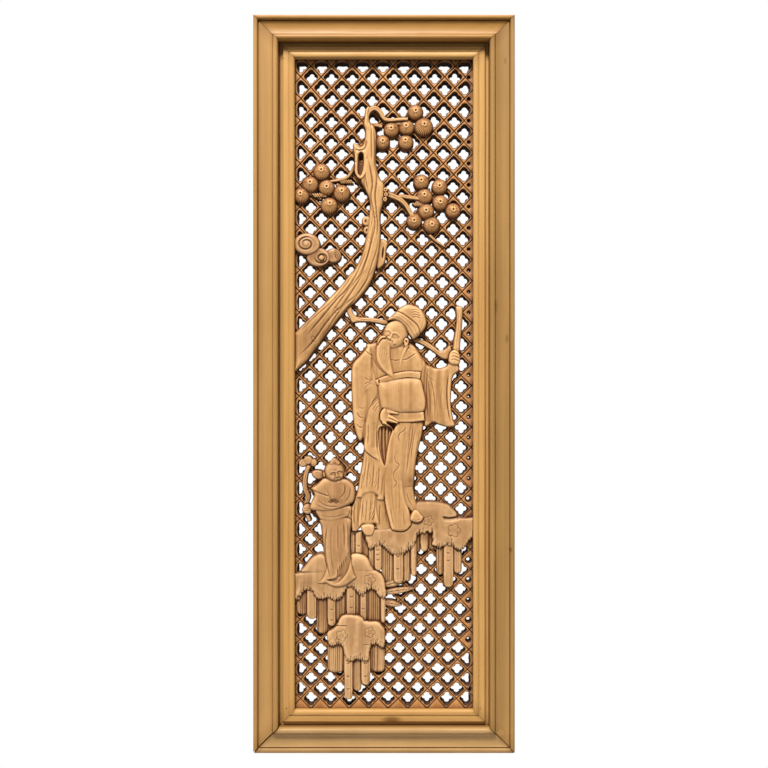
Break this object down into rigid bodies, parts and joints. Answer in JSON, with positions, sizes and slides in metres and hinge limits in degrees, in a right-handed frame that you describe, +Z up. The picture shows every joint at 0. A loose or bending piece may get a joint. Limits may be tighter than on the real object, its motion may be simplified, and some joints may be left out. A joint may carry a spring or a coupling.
{
  "type": "carved wall panel",
  "caption": "Tall carved wooden wall panel: an openwork lattice with a pine, an official, a boy and rocks in relief, in a moulded frame.",
  "frame": {"origin": "middle of the top rail's flat back face, where the panel is hung", "axes": "+Z up, front towards -Y, back face on Y = 0, +X to the viewer's right"},
  "size_m": [0.326, 0.034, 0.92],
  "materials": {
    "outer_frame_wood": "satin, waxed pale brown wood with darker stain in the quirks",
    "inner_frame_wood": "satin golden wood",
    "carved_wood": "satin carved wood, dark brown in the cuts"
  },
  "bodies": {
    "root": {"outer_stile_left": "outer_frame_wood", "outer_stile_right": "outer_frame_wood", "outer_rail_top": "outer_frame_wood", "outer_rail_bottom": "outer_frame_wood", "inner_stile_left": "inner_frame_wood", "inner_stile_right": "inner_frame_wood", "inner_rail_top": "inner_frame_wood", "inner_rail_bottom": "inner_frame_wood", "carved_board": "carved_wood"}
  },
  "joints": []
}
